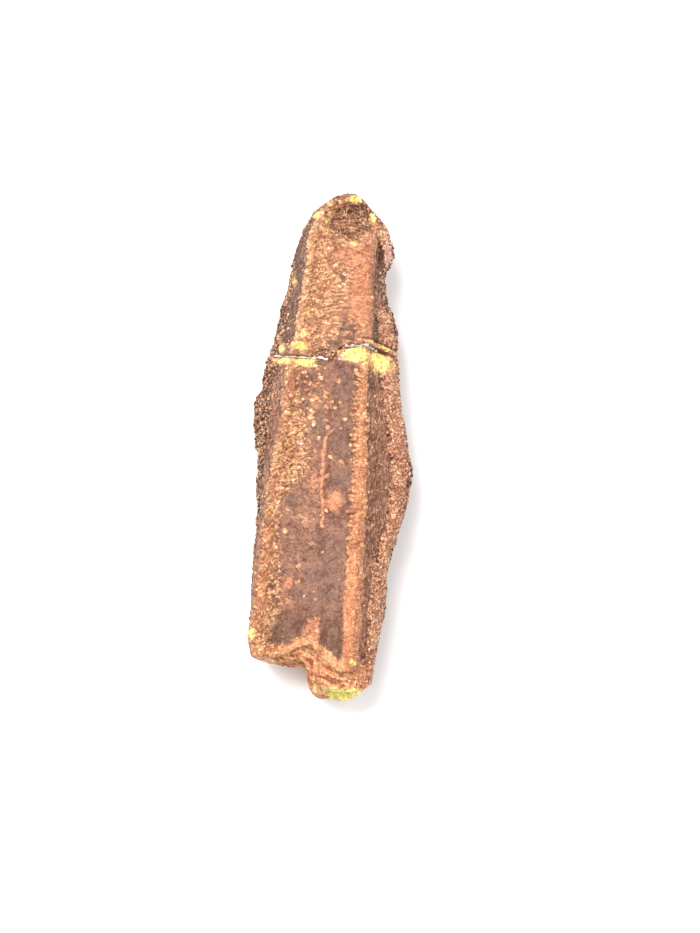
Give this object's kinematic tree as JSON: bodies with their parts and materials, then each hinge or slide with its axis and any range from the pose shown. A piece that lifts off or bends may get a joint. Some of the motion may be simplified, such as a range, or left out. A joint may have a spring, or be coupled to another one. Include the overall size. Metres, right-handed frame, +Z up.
{
  "type": "fossil edmontosaurus tooth",
  "caption": "Long fossil tooth with a ridged enamel face, a mended crack across it, a hollow in its worn tip and a stepped broken end, lying on its back.",
  "frame": {"origin": "centre of the tooth's bounding box, on the surface that its back lies on", "axes": "+Y along the tooth to its worn tip, +Z up out of the long enamel face, +X across it to the side with the wide outer ridge"},
  "size_m": [0.0116, 0.0361, 0.0089],
  "materials": {
    "tooth": "brown fossil enamel and dentine, rough and grainy on the sides and smoother on the face, with orange worn margins and pale yellow fresh breaks"
  },
  "bodies": {
    "root": {"tooth": "tooth"}
  },
  "joints": []
}
